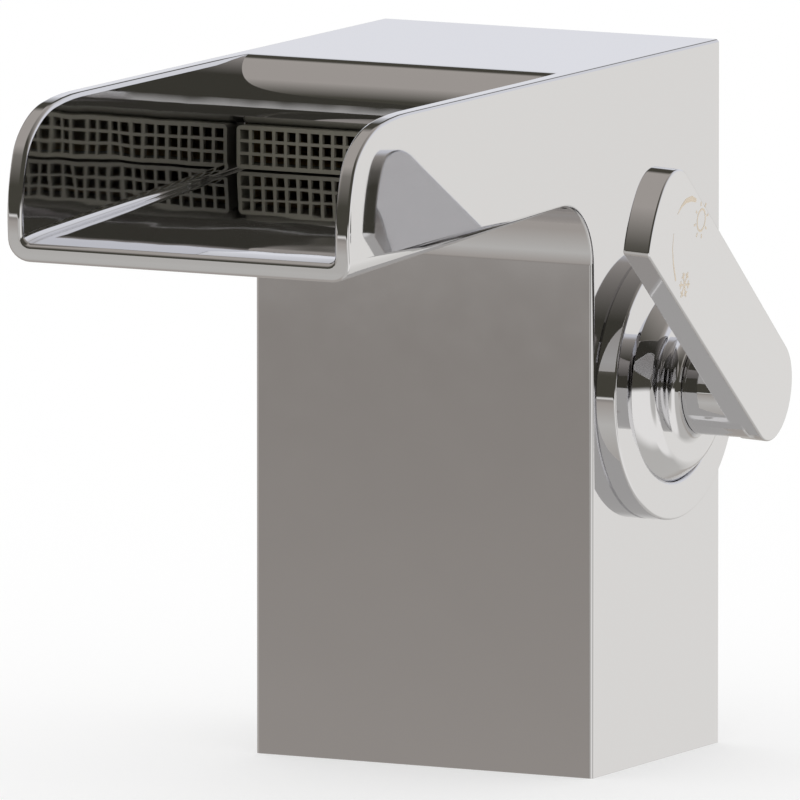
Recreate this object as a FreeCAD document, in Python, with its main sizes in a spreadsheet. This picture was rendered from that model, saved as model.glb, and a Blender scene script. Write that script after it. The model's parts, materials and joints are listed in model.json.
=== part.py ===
"""Single-lever waterfall basin faucet: a square column with an open trough and a side lever.

Frame: origin at the middle of the base, +Z up, the trough points along -Y, the lever is on +X.
The cartridge and lever pieces are drawn about their own axis, with x outwards and y along the
paddle, and are then seated on the side of the column.
"""
import FreeCAD, Part
import os
import re
import Sketcher

SIZES = {
    # column and trough, one casting
    "col_width": 70.0,
    "col_depth": 51.8,
    "col_height": 131.6,
    "col_wall": 3.0,
    "top_wall": 3.5,
    "edge_round": 0.75,
    "spout_reach": 95.9,
    "spout_rise": 4.9,
    "spout_floor": 3.8,
    "lip_drop": 28.7,
    "lip_radius": 33.5,
    "lip_lean": 70.5,
    "rim_low": 10.2,
    "rim_mid": 16.6,
    "rim_high": 60.0,
    "turn_low": 45.0,
    "turn_high": 10.0,
    "throat_radius": 12.0,
    "belly_round": 4.0,
    "trough_wall": 3.1,
    "trough_round": 1.5,
    "nose_reach": 15.2,
    "nose_radius": 7.6,
    "nose_under": 3.5,
    "nose_drop": 12.4,
    "dam_reach": 11.65,
    "dam_wall": 4.0,
    "partition": 6.5,
    "chamber_inset": 1.5,
    "boss_reach": 13.0,
    "boss_half": 5.5,
    "boss_height": 18.0,
    "boss_gap": 1.0,
    "cut_over": 5.0,
    # grille at the back of the trough
    "grille_margin": 1.0,
    "grille_proud": 3.5,
    "grille_inset": 1.2,
    "grille_plate": 0.9,
    "grille_corner": 0.8,
    "grille_gap": 0.1,
    "grille_ledge": 0.6,
    "seal_plate": 0.6,
    "hole_pitch": 2.44,
    "hole_rise": 2.35,
    "hole_size": 1.8,
    # lever axis on the side of the column
    "lever_drop": 61.3,
    "lever_tilt": 34.7,
    "pivot_depth": 9.4,
    # trim ring
    "ring_radius": 25.0,
    "ring_height": 4.2,
    "ring_opening": 18.0,
    "bore_radius": 22.75,
    "bore_gap": 0.05,
    "bore_behind": 12.0,
    # dome cap
    "dome_radius": 22.2,
    "dome_gap": 0.3,
    "dome_wall": 1.8,
    "dome_rim": 3.85,
    "dome_shoulder": 16.7,
    "crown_wall": 2.3,
    "shoulder_round": 3.0,
    "neck_round": 2.2,
    # handle
    "stem_radius": 8.8,
    "spigot_radius": 6.55,
    "spigot_gap": 0.05,
    "spigot_length": 7.5,
    "paddle_stand": 8.6,
    "paddle_lean": 6.4,
    "paddle_length": 75.8,
    "paddle_half": 10.2,
    "paddle_rise": 0.2,
    "paddle_thick": 5.2,
    "paddle_edge": 0.4,
    "root_set": 1.35,
    "root_radius": 9.35,
    "tip_radius": 23.5,
    "tip_corner": 1.0,
    "tip_round": 9.0,
    "grub_radius": 2.0,
    "grub_gap": 0.05,
    "grub_length": 3.6,
    "grub_set": 4.1,
    # spindle and its fork
    "spindle_side": 7.0,
    "spindle_gap": 0.05,
    "spindle_reach": 25.4,
    "spindle_end_gap": 0.4,
    "shank_drop": 8.0,
    "arm_length": 14.8,
    "arm_radius": 2.0,
    "ball_radius": 2.4,
    "ball_gap": 0.1,
    "lift_angle": 22.0,
    "pin_radius": 2.0,
    "pin_gap": 0.05,
    "pin_seat": 0.02,
    "pin_end_gap": 0.3,
    "tower_radius": 9.5,
    "tower_over": 5.4,
    "tower_gap": 0.06,
    "fork_gap": 0.1,
    "window_gap": 0.4,
    "rotor_flange": 2.4,
    "rotor_radius": 14.0,
    "rotor_gap": 0.3,
    "run_gap": 0.1,
    # ceramic cartridge
    "cart_radius": 17.5,
    "cart_gap": 0.1,
    "shell_wall": 1.3,
    "shell_roof": 2.7,
    "neck_radius": 15.6,
    "disc_radius": 10.4,
    "fixed_radius": 15.5,
    "fixed_height": 3.2,
    "moving_height": 3.0,
    "carrier_height": 4.0,
    "socket_floor": 2.6,
    "base_height": 4.5,
    "inlet_along": 4.8,
    "inlet_across": 4.2,
    "outlet_along": 2.6,
    "mix_radius": 8.6,
    "mix_edge": 1.1,
    "mix_depth": 1.8,
    "seal_radius": 3.6,
    "seal_height": 1.2,
    "seal_lip": 0.3,
    "seal_gap": 0.05,
    "nut_height": 4.0,
    "nut_radius": 19.5,
    "nut_gap": 0.1,
    "nut_slot": 3.0,
    "slot_depth": 1.5,
    # valve manifold inside the column
    "cup_wall": 3.9,
    "cup_back": 17.5,
    "mouth_drop": 0.5,
    "flange_top": 12.0,
    "flange_gap": 0.3,
    "foot_drop": 2.0,
    "foot_radius": 17.0,
    "pillar_depth": 24.0,
    "pillar_half": 13.0,
    "port_back": 3.8,
    "port_spread": 9.5,
    "port_radius": 4.5,
    "way_radius": 2.0,
    "cross_radius": 2.3,
    "rise_radius": 2.6,
    "way_over": 0.6,
    "riser_back": 10.1,
    "riser_radius": 6.5,
    "riser_bore": 3.0,
    "riser_gap": 0.1,
    "oring_cord": 0.8,
    "oring_slack": 0.02,
    "stud_forward": 9.5,
    "stud_radius": 3.4,
    "stud_depth": 10.0,
    # screws that hold the manifold
    "screw_radius": 2.0,
    "screw_gap": 0.05,
    "screw_play": 0.3,
    "screw_length": 20.0,
    "screw_head": 4.0,
    "head_height": 2.2,
}

doc = FreeCAD.newDocument("basin_faucet")
sheet = doc.addObject("Spreadsheet::Sheet", "Sizes")
for row, (alias, size) in enumerate(SIZES.items(), start=1):
    sheet.set("A%d" % row, alias)
    sheet.set("B%d" % row, str(size))
    sheet.setAlias("B%d" % row, alias)
doc.recompute()

nodes = []
SAME_PLACE = 1e-6
QUARTER_TURNS = {
    "x": FreeCAD.Rotation(FreeCAD.Vector(0, 1, 0), 90),
    "y": FreeCAD.Rotation(FreeCAD.Vector(1, 0, 0), -90),
    "z": FreeCAD.Rotation(),
}


def formula(text):
    """A sum of size names as an expression on the sheet."""
    return re.sub(r"[a-z_]+", lambda m: "Sizes." + m[0] if m[0] in SIZES else m[0], text)


def number(text):
    """The present value of such a sum."""
    result = sheet.evalExpression(formula(text))
    return float(getattr(result, "Value", result))


def bind(item, **sums):
    for name, text in sums.items():
        item.setExpression(name, formula(text))


def place(item, x, y, z):
    for axis, text in zip("xyz", (x, y, z)):
        item.setExpression("Placement.Base." + axis, formula(text))


def block(name, x, y, z):
    """A box between a low and a high sum on each axis."""
    item = doc.addObject("Part::Box", name)
    sums = ["(%s) - (%s)" % (high, low) for low, high in (x, y, z)]
    bind(item, Length=sums[0], Width=sums[1], Height=sums[2])
    place(item, x[0], y[0], z[0])
    return item


def centred(half):
    return "-(%s)" % half, half


def rod(name, along, radius, low, high, side="0", up="0"):
    """A cylinder along one axis; side and up are its place on the other two axes in order."""
    item = doc.addObject("Part::Cylinder", name)
    item.Placement = FreeCAD.Placement(FreeCAD.Vector(), QUARTER_TURNS[along])
    bind(item, Radius=radius, Height="(%s) - (%s)" % (high, low))
    spot = {"x": (low, side, up), "y": (side, low, up), "z": (side, up, low)}[along]
    place(item, *spot)
    return item


def fuse(name, *items):
    item = doc.addObject("Part::MultiFuse", name)
    item.Shapes = list(items)
    return item


def cut(name, base, *tools):
    item = doc.addObject("Part::Cut", name)
    item.Base = base
    item.Tool = tools[0] if len(tools) == 1 else fuse(name + "_tools", *tools)
    return item


def group(name, *items):
    item = doc.addObject("Part::Compound", name)
    item.Links = list(items)
    return item


def keep(item, node):
    """Name a finished piece."""
    item.Label = node
    nodes.append(item)


def seat(item):
    """Turn a piece of the lever or cartridge to the paddle's direction, on the lever axis."""
    item.Placement = FreeCAD.Placement(FreeCAD.Vector(), FreeCAD.Rotation(FreeCAD.Vector(1, 0, 0), 1))
    item.setExpression("Placement.Base.z", formula(LEVER))
    item.setExpression("Placement.Rotation.Angle", formula("180 - lever_tilt"))


def sketch_on(body, plane, name):
    sketch = body.newObject("Sketcher::SketchObject", name)
    support = [item for item in body.Origin.OriginFeatures if item.Role == plane][0]
    sketch.AttachmentSupport = [(support, "")]
    sketch.MapMode = "FlatFace"
    return sketch


def arc_between(start, end, radius, left):
    """Arc from start to end that turns left or right, drawn anticlockwise as sketches want it."""
    chord = end - start
    aside = FreeCAD.Vector(-chord.y, chord.x, 0).normalize()
    depth = max(radius ** 2 - (chord.Length / 2) ** 2, 0) ** 0.5
    centre = (start + end) / 2 + aside * (depth if left else -depth)
    first, last = (start, end) if left else (end, start)
    along = FreeCAD.Vector(1, 0, 0)
    up = FreeCAD.Vector(0, 0, 1)
    angles = [along.getAngle(p - centre) * (1 if (p - centre).y >= 0 else -1) for p in (first, last)]
    return Part.ArcOfCircle(Part.Circle(centre, up, radius), angles[0], angles[1])


def outline(sketch, corners, arcs=None):
    """Closed outline; arcs maps the corner where an arc starts to its radius and its turn."""
    arcs = arcs or {}
    points = [FreeCAD.Vector(number(x), number(y), 0) for x, y in corners]
    ends = []
    for i, start in enumerate(points):
        end = points[(i + 1) % len(points)]
        if i in arcs:
            radius, turn = arcs[i]
            edge = sketch.addGeometry(arc_between(start, end, number(radius), turn == "left"))
            spot = sketch.addConstraint(Sketcher.Constraint("Radius", edge, number(radius)))
            sketch.setExpression("Constraints[%d]" % spot, formula(radius))
            ends.append((edge, 1, 2) if turn == "left" else (edge, 2, 1))
        else:
            ends.append((sketch.addGeometry(Part.LineSegment(start, end)), 1, 2))
    for i, (edge, first, last) in enumerate(ends):
        following = ends[(i + 1) % len(ends)]
        sketch.addConstraint(Sketcher.Constraint("Coincident", edge, last, following[0], following[1]))
        for kind, text in zip(("DistanceX", "DistanceY"), corners[i]):
            spot = sketch.addConstraint(Sketcher.Constraint(kind, -1, 1, edge, first, number(text)))
            sketch.setExpression("Constraints[%d]" % spot, formula(text))


def extruded(name, plane, corners, arcs, length, symmetric):
    """Body padded from a closed outline."""
    body = doc.addObject("PartDesign::Body", name)
    sketch = sketch_on(body, plane, name + "_outline")
    outline(sketch, corners, arcs)
    pad = body.newObject("PartDesign::Pad", name + "_pad")
    pad.Profile = sketch
    pad.SideType = "Symmetric" if symmetric else "One side"
    bind(pad, Length=length)
    doc.recompute()
    return body


def turned(name, corners, arcs):
    """Body turned about the x axis from an outline of places along it and radii."""
    body = doc.addObject("PartDesign::Body", name)
    sketch = sketch_on(body, "XY_Plane", name + "_outline")
    outline(sketch, corners, arcs)
    turn = body.newObject("PartDesign::Revolution", name + "_turn")
    turn.Profile = sketch
    turn.ReferenceAxis = (sketch, ["H_Axis"])
    turn.Angle = 360
    doc.recompute()
    return body


def rounded(body, radius, chosen):
    """Round the edges of a body that a test picks."""
    last = body.Tip
    names = ["Edge%d" % (i + 1) for i, edge in enumerate(last.Shape.Edges) if chosen(edge)]
    feature = body.newObject("PartDesign::Fillet", last.Name + "_round")
    feature.Base = (last, names)
    bind(feature, Radius=radius)
    doc.recompute()


def near(a, b):
    """Whether two places are the same but for rounding."""
    return abs(a - b) < SAME_PLACE


# Places that several pieces share, as sums of the sizes
SIDE = "(col_width / 2)"
FRONT = "(-col_depth / 2)"
BACK = "(col_depth / 2)"
LIP = "(-col_depth / 2 - spout_reach)"
DAM = "(-col_depth / 2 - dam_reach)"
NOSE = "(-col_depth / 2 - nose_reach)"
SLOPE = "(spout_rise / spout_reach)"
LIP_BASE = "(col_height - lip_drop)"
FLOOR_AT_DAM = "(%s + spout_floor + %s * (spout_reach - dam_reach))" % (LIP_BASE, SLOPE)
NOSE_LOW = "(col_height - nose_drop)"
LEVER = "(col_height - lever_drop)"
CAVITY_TOP = "(%s - partition)" % FLOOR_AT_DAM
GRILLE_SEAT = "(%s + grille_inset + seal_plate)" % DAM
GRILLE_HALF = "(col_width / 2 - trough_wall - grille_margin)"
GRILLE_LOW = "(%s + grille_gap)" % FLOOR_AT_DAM
GRILLE_HIGH = "(%s - grille_gap)" % NOSE_LOW
PIVOT = "(col_width / 2 - pivot_depth)"
SHOULDER = "(%s + dome_shoulder)" % PIVOT
SEAM = "(%s + neck_round)" % SHOULDER
BALL = "(%s - arm_length)" % PIVOT
CARRIER = "(%s - socket_floor)" % BALL
CARRIER_TOP = "(%s + carrier_height)" % CARRIER
ROTOR = "(%s + run_gap)" % CARRIER_TOP
ROTOR_TOP = "(%s + rotor_flange)" % ROTOR
SHELL_ROOF = "(%s + run_gap)" % ROTOR_TOP
SHELL_TOP = "(%s + shell_roof)" % SHELL_ROOF
NUT_SEAT = "(%s - nut_height)" % SHELL_TOP
MOVING = "(%s - moving_height)" % CARRIER
FIXED = "(%s - fixed_height)" % MOVING
CUP_FLOOR = "(%s - base_height)" % FIXED
CUP_BACK = "(%s - cup_back)" % CUP_FLOOR
PORT = "(%s - port_back)" % CUP_FLOOR
RISER = "(%s - riser_back)" % CUP_FLOOR
CUP_MOUTH = "(%s - mouth_drop)" % SHELL_TOP
SCREW = "(%s - boss_reach + screw_head)" % SIDE
CUP_RADIUS = "(cart_radius + cart_gap + cup_wall)"
PORTS = (("inlet_along", "inlet_across"), ("inlet_along", "-inlet_across"), ("-outlet_along", "0"))


def body_casting():
    """Square column that carries an open trough, with the water chamber behind the grille."""
    lip_top = "(col_height - rim_high * (1 - cos(turn_high))"
    lip_top += " - rim_mid * (cos(turn_high) - cos(turn_low)) - rim_low * (cos(turn_low) - cos(lip_lean)))"
    bulge_z = "(%s - lip_radius * cos(lip_lean) - %s)" % (lip_top, LIP_BASE)
    lip_front = "(%s + sqrt(lip_radius ^ 2 - %s ^ 2) - lip_radius * sin(lip_lean))" % (LIP, bulge_z)
    mid_y = "(%s + rim_low * (sin(lip_lean) - sin(turn_low)))" % lip_front
    mid_z = "(%s + rim_low * (cos(turn_low) - cos(lip_lean)))" % lip_top
    high_y = "(%s + rim_mid * (sin(turn_low) - sin(turn_high)))" % mid_y
    high_z = "(%s + rim_mid * (cos(turn_high) - cos(turn_low)))" % mid_z
    top_y = "(%s + rim_high * sin(turn_high))" % high_y
    throat = "(throat_radius / tan(45 deg - atan%s / 2))" % SLOPE
    throat_y = "(%s - %s * cos(atan%s))" % (FRONT, throat, SLOPE)
    throat_z = "(%s + spout_rise - %s * sin(atan%s))" % (LIP_BASE, throat, SLOPE)
    corners = [
        (FRONT, "0"),
        (BACK, "0"),
        (BACK, "col_height"),
        (top_y, "col_height"),
        (high_y, high_z),
        (mid_y, mid_z),
        (lip_front, lip_top),
        (LIP, LIP_BASE),
        (throat_y, throat_z),
        (FRONT, LIP_BASE + " + spout_rise - " + throat),
    ]
    arcs = {
        3: ("rim_high", "left"),
        4: ("rim_mid", "left"),
        5: ("rim_low", "left"),
        6: ("lip_radius", "left"),
        8: ("throat_radius", "right"),
    }
    form = extruded("outer_form", "YZ_Plane", corners, arcs, "col_width", True)

    # the belly edges are broad at the lip and fade to the column's own small rounds
    rounds = []
    small = number("edge_round")
    broad = number("belly_round")
    lip = number(LIP)
    front = number(FRONT)
    back = number(BACK)
    belly = number(LIP_BASE + " + spout_rise")
    for i, edge in enumerate(form.Shape.Edges, start=1):
        ends = [vertex.Point for vertex in edge.Vertexes]
        on_side = all(near(abs(p.x), number(SIDE)) for p in ends)
        upright = all(near(p.y, back) for p in ends)
        under = all(p.z < belly and p.y < front + SAME_PLACE for p in ends)
        if on_side and (upright or under):
            radii = [broad if near(p.y, lip) else small for p in ends]
            rounds.append((i, radii[0], radii[1]))
    soft_form = doc.addObject("Part::Fillet", "soft_form")
    soft_form.Base = form
    soft_form.Edges = rounds

    floor_front = "(%s + spout_floor - %s * cut_over)" % (LIP_BASE, SLOPE)
    trough = extruded("trough_core", "YZ_Plane", [
        (LIP + " - cut_over", floor_front),
        (DAM, FLOOR_AT_DAM),
        (DAM, NOSE_LOW),
        (NOSE + " + nose_under", NOSE_LOW),
        (NOSE, NOSE_LOW + " + nose_under"),
        (NOSE, "col_height - nose_radius"),
        (NOSE + " + nose_radius", "col_height"),
        (NOSE + " + nose_radius", "col_height + cut_over"),
        (LIP + " - cut_over", "col_height + cut_over"),
    ], {3: ("nose_under", "right"), 5: ("nose_radius", "right")}, "col_width - 2 * trough_wall", True)
    floor_z = number(FLOOR_AT_DAM)
    half_reach = number("spout_reach / 2")
    rounded(trough, "trough_round", lambda edge: not near(edge.CenterOfMass.x, 0)
            and edge.CenterOfMass.z < floor_z and edge.BoundBox.YLength > half_reach)

    inner = "col_width / 2 - col_wall"
    deep = "col_depth / 2 - col_wall"
    cavity = block("column_cavity", centred(inner), centred(deep), ("-cut_over", CAVITY_TOP))
    chamber = block("water_chamber", centred("col_width / 2 - trough_wall - chamber_inset"),
                    (DAM + " + dam_wall", deep), (FLOOR_AT_DAM, "col_height - top_wall"))
    rebate = block("grille_rebate", centred(GRILLE_HALF + " + grille_gap"), (DAM, GRILLE_SEAT),
                   (FLOOR_AT_DAM, NOSE_LOW))
    window = block("grille_window", centred(GRILLE_HALF + " - grille_ledge"),
                   (DAM, DAM + " + dam_wall + cut_over"),
                   (GRILLE_LOW + " + grille_ledge", GRILLE_HIGH + " - grille_ledge"))
    bore = rod("side_bore", "x", "bore_radius", PIVOT + " - bore_behind", SIDE + " + cut_over", "0", LEVER)
    riser_hole = rod("riser_hole", "z", "riser_radius + riser_gap", CAVITY_TOP + " - cut_over",
                     FLOOR_AT_DAM + " + cut_over", RISER, "cos(lever_tilt) * outlet_along")
    hollow = cut("hollow_form", soft_form, trough, cavity, chamber, rebate, window, riser_hole)

    bosses = []
    drills = []
    for name, sign in (("left", "-"), ("right", "")):
        near_x = "%s(%s - boss_reach)" % (sign, SIDE)
        wall_x = "%s(%s - col_wall / 2)" % (sign, SIDE)
        span = (wall_x, near_x) if sign else (near_x, wall_x)
        bosses.append(block(name + "_boss", span, centred("boss_half"),
                            ("flange_top", "flange_top + boss_height")))
        drills.append(rod(name + "_boss_hole", "z", "screw_radius + screw_gap", "flange_top - cut_over",
                          "foot_drop + screw_length + screw_head", sign + SCREW))
    keep(cut("casting", fuse("bossed_form", hollow, *bosses), bore, *drills), "body_casting")


def grille():
    """Perforated cap on a rubber frame, held between the trough's floor and the nose."""
    body = doc.addObject("PartDesign::Body", "grille")
    plate = sketch_on(body, "XZ_Plane", "grille_outline")
    outline(plate, [
        ("-" + GRILLE_HALF, GRILLE_LOW),
        (GRILLE_HALF, GRILLE_LOW),
        (GRILLE_HALF, GRILLE_HIGH),
        ("-" + GRILLE_HALF, GRILLE_HIGH),
    ])
    pad = body.newObject("PartDesign::Pad", "grille_pad")
    pad.Profile = plate
    bind(pad, Length="grille_proud + grille_inset")
    doc.recompute()
    inner = GRILLE_HALF + " - grille_ledge"
    inner_low = GRILLE_LOW + " + grille_ledge"
    inner_high = GRILLE_HIGH + " - grille_ledge"
    rounded(body, "grille_corner", lambda edge: edge.BoundBox.YLength > SAME_PLACE)
    back = sketch_on(body, "XZ_Plane", "grille_inside")
    outline(back, [
        ("-(%s)" % inner, inner_low),
        (inner, inner_low),
        (inner, inner_high),
        ("-(%s)" % inner, inner_high),
    ])
    hollow = body.newObject("PartDesign::Pocket", "grille_hollow")
    hollow.Profile = back
    hollow.Reversed = True
    bind(hollow, Length="grille_proud + grille_inset - grille_plate")
    doc.recompute()
    tall = "(%s - %s)" % (GRILLE_HIGH, GRILLE_LOW)
    across = "floor((2 * (%s) - hole_size) / hole_pitch)" % inner
    up = "floor((%s - 2 * grille_ledge - hole_size) / hole_rise)" % tall
    holes = sketch_on(body, "XZ_Plane", "grille_hole")
    left = "(-hole_pitch * %s / 2 - hole_size / 2)" % across
    right = left + " + hole_size"
    sill = "(%s + %s / 2 - hole_rise * %s / 2 - hole_size / 2)" % (GRILLE_LOW, tall, up)
    head = sill + " + hole_size"
    outline(holes, [(left, sill), (right, sill), (right, head), (left, head)])
    pocket = body.newObject("PartDesign::Pocket", "grille_pocket")
    pocket.Profile = holes
    pocket.Type = "ThroughAll"
    pocket.SideType = "Symmetric"
    doc.recompute()
    pattern = body.newObject("PartDesign::LinearPattern", "grille_pattern")
    pattern.Originals = [pocket]
    pattern.Direction = (holes, ["H_Axis"])
    pattern.Direction2 = (holes, ["V_Axis"])
    bind(pattern, Length="hole_pitch * " + across, Occurrences=across + " + 1",
         Length2="hole_rise * " + up, Occurrences2=up + " + 1")
    body.Tip = pattern
    place(body, "0", DAM + " + grille_inset", "0")
    keep(body, "flow_grille")

    seal = (GRILLE_SEAT + " - seal_plate", GRILLE_SEAT)
    frame = block("seal_frame", centred(GRILLE_HALF), seal, (GRILLE_LOW, GRILLE_HIGH))
    gap = block("seal_gap", centred(inner), seal, (inner_low, inner_high))
    keep(cut("grille_frame", frame, gap), "grille_seal")


def trim_ring():
    """Flat ring whose inside follows the dome, with a skirt in the column's side bore."""
    front = "(%s + ring_height)" % SIDE
    seat_radius = "(dome_radius + dome_gap)"
    land = "(%s + sqrt(%s ^ 2 - ring_opening ^ 2))" % (PIVOT, seat_radius)
    inner = "(%s - col_wall)" % SIDE
    inner_radius = "sqrt(%s ^ 2 - (%s - %s) ^ 2)" % (seat_radius, inner, PIVOT)
    body = turned("ring", [
        (SIDE, "bore_radius - bore_gap"),
        (inner, "bore_radius - bore_gap"),
        (inner, inner_radius),
        (land, "ring_opening"),
        (front, "ring_opening"),
        (front, "ring_radius"),
        (SIDE, "ring_radius"),
    ], {2: (seat_radius, "right")})
    body.setExpression("Placement.Base.z", formula(LEVER))
    keep(body, "trim_ring")


def dome_cap():
    """Spherical cap about the lever's pivot with a flat shoulder and a trumpet neck."""
    inside = "(dome_radius - dome_wall)"
    rim = "(%s + dome_rim)" % PIVOT
    crown = "(%s - crown_wall)" % SHOULDER
    body = turned("dome", [
        (rim, "sqrt(%s ^ 2 - dome_rim ^ 2)" % inside),
        (crown, "sqrt(%s ^ 2 - (dome_shoulder - crown_wall) ^ 2)" % inside),
        (crown, "spigot_radius + spigot_gap"),
        (SEAM, "spigot_radius + spigot_gap"),
        (SEAM, "stem_radius"),
        (SHOULDER, "stem_radius + neck_round"),
        (SHOULDER, "sqrt(dome_radius ^ 2 - dome_shoulder ^ 2)"),
        (rim, "sqrt(dome_radius ^ 2 - dome_rim ^ 2)"),
    ], {0: (inside, "right"), 4: ("neck_round", "left"), 6: ("dome_radius", "left")})
    crease = number("sqrt(dome_radius ^ 2 - dome_shoulder ^ 2)")
    rounded(body, "shoulder_round", lambda edge: edge.Curve.TypeId == "Part::GeomCircle"
            and near(edge.Curve.Radius, crease))
    seat(body)
    keep(body, "dome_cap")


def handle_lever():
    """Round stem with an inclined flat paddle, socketed for the spindle."""
    upper = "(-paddle_half - paddle_rise)"
    lower = "(paddle_half - paddle_rise)"
    tip = "(paddle_length - tip_radius + sqrt(tip_radius ^ 2 - paddle_half ^ 2))"
    paddle = extruded("paddle", "YZ_Plane", [
        ("-root_set", upper),
        (tip, upper),
        (tip, lower),
        ("-root_set", upper + " + 2 * root_radius"),
        ("-root_set - root_radius", upper + " + root_radius"),
    ], {
        1: ("tip_radius", "left"),
        3: ("root_radius", "left"),
        4: ("root_radius", "left"),
    }, "paddle_thick", False)
    thick = number("paddle_thick")
    far = number(tip)
    for size, side in (("tip_corner", number(lower)), ("tip_round", number(upper))):
        rounded(paddle, size, lambda edge: edge.BoundBox.XLength > thick / 2
                and all(near(v.Point.y, far) and near(v.Point.z, side) for v in edge.Vertexes))
    rounded(paddle, "paddle_edge", lambda edge: edge.BoundBox.XLength < thick / 2)
    paddle.Placement = FreeCAD.Placement(FreeCAD.Vector(), FreeCAD.Rotation(FreeCAD.Vector(0, 0, -1), 1))
    place(paddle, SEAM + " + paddle_stand", "0", "0")
    paddle.setExpression("Placement.Rotation.Angle", formula("paddle_lean"))

    stem = rod("stem", "x", "stem_radius", SEAM, SEAM + " + paddle_stand + paddle_thick / 2")
    spigot = rod("stem_spigot", "x", "spigot_radius", SEAM + " - spigot_length", SEAM)
    half = "spindle_side / 2 + spindle_gap"
    socket_end = PIVOT + " + spindle_reach + spindle_end_gap"
    socket = block("stem_socket", (SEAM + " - spigot_length", socket_end), centred(half), centred(half))
    drill = rod("stem_grub_hole", "y", "grub_radius + grub_gap", "-stem_radius - cut_over", "0",
                SEAM + " + grub_set")
    item = cut("handle", fuse("handle_form", stem, spigot, paddle), socket, drill)
    seat(item)
    keep(item, "handle_lever")

    tip = "-(spindle_side / 2)"
    end = "-(spindle_side / 2) - grub_length"
    for node, low, high in (("grub_screw", end, tip), ("screw_plug", "-stem_radius", end)):
        pin = group(node + "_seated", rod(node + "_pin", "y", "grub_radius", low, high, SEAM + " + grub_set"))
        seat(pin)
        keep(pin, node)


def spindle():
    """Square bar with an eye for the cross pin and a ball end that drives the disc carrier."""
    half = "spindle_side / 2"
    bar = block("spindle_bar", (PIVOT + " - shank_drop", PIVOT + " + spindle_reach"), centred(half),
                centred(half))
    arm = rod("spindle_arm", "x", "arm_radius", BALL, PIVOT + " - shank_drop")
    ball = doc.addObject("Part::Sphere", "spindle_ball")
    bind(ball, Radius="ball_radius")
    place(ball, BALL, "0", "0")
    eye = rod("spindle_eye", "z", "pin_radius + pin_gap", "-spindle_side", "spindle_side", PIVOT)
    item = cut("spindle_form", fuse("spindle_blank", bar, arm, ball), eye)
    seat(item)
    keep(item, "spindle")


def rotor_guide():
    """Fork that turns in the cartridge with the lever and carries the cross pin."""
    tower_top = PIVOT + " + tower_over"
    flange = rod("rotor_disc", "x", "rotor_radius", ROTOR, ROTOR_TOP)
    tower = rod("rotor_tower", "x", "tower_radius", ROTOR_TOP, tower_top)
    slot = block("rotor_slot", (ROTOR_TOP, tower_top + " + cut_over"), centred("tower_radius + cut_over"),
                 centred("spindle_side / 2 + fork_gap"))
    swing = "(%s - %s) * tan(lift_angle) + arm_radius / cos(lift_angle) + window_gap" % (PIVOT, ROTOR)
    window = block("rotor_window", (ROTOR + " - cut_over", ROTOR_TOP + " + cut_over"),
                   ("-arm_radius - window_gap", swing), centred("arm_radius + window_gap"))
    hole = rod("rotor_pin_hole", "z", "pin_radius + pin_seat", "-rotor_radius", "rotor_radius", PIVOT)
    item = cut("rotor", fuse("rotor_form", flange, tower), slot, window, hole)
    seat(item)
    keep(item, "rotor_guide")

    pin = group("pin_seated", rod("pin", "z", "pin_radius", "-(tower_radius - pin_end_gap)",
                                  "tower_radius - pin_end_gap", PIVOT))
    seat(pin)
    keep(pin, "pivot_pin")


def discs():
    """Ported fixed disc, moving disc with its mixing recess, and the carrier that drags it."""
    ports = [rod("disc_port_%d" % i, "x", "way_radius", FIXED + " - cut_over", MOVING + " + cut_over", along,
                 "-(%s)" % across) for i, (along, across) in enumerate(PORTS)]
    fixed = cut("ported_disc", rod("fixed_blank", "x", "fixed_radius", FIXED, MOVING), *ports)
    seat(fixed)
    keep(fixed, "fixed_disc")

    recess = doc.addObject("Part::MultiCommon", "mix_recess")
    recess.Shapes = [
        rod("mix_round", "x", "mix_radius", MOVING + " - cut_over", MOVING + " + mix_depth"),
        block("mix_straight", (MOVING + " - cut_over", MOVING + " + mix_depth"),
              ("-mix_radius - cut_over", "-mix_edge"), centred("mix_radius + cut_over")),
    ]
    moving = cut("recessed_disc", rod("moving_blank", "x", "disc_radius", MOVING, CARRIER), recess)
    seat(moving)
    keep(moving, "moving_disc")

    socket = rod("carrier_socket", "x", "ball_radius + ball_gap", BALL + " - ball_radius", CARRIER_TOP)
    carrier = cut("carrier", rod("carrier_blank", "x", "disc_radius", CARRIER, CARRIER_TOP), socket)
    seat(carrier)
    keep(carrier, "disc_carrier")


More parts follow.
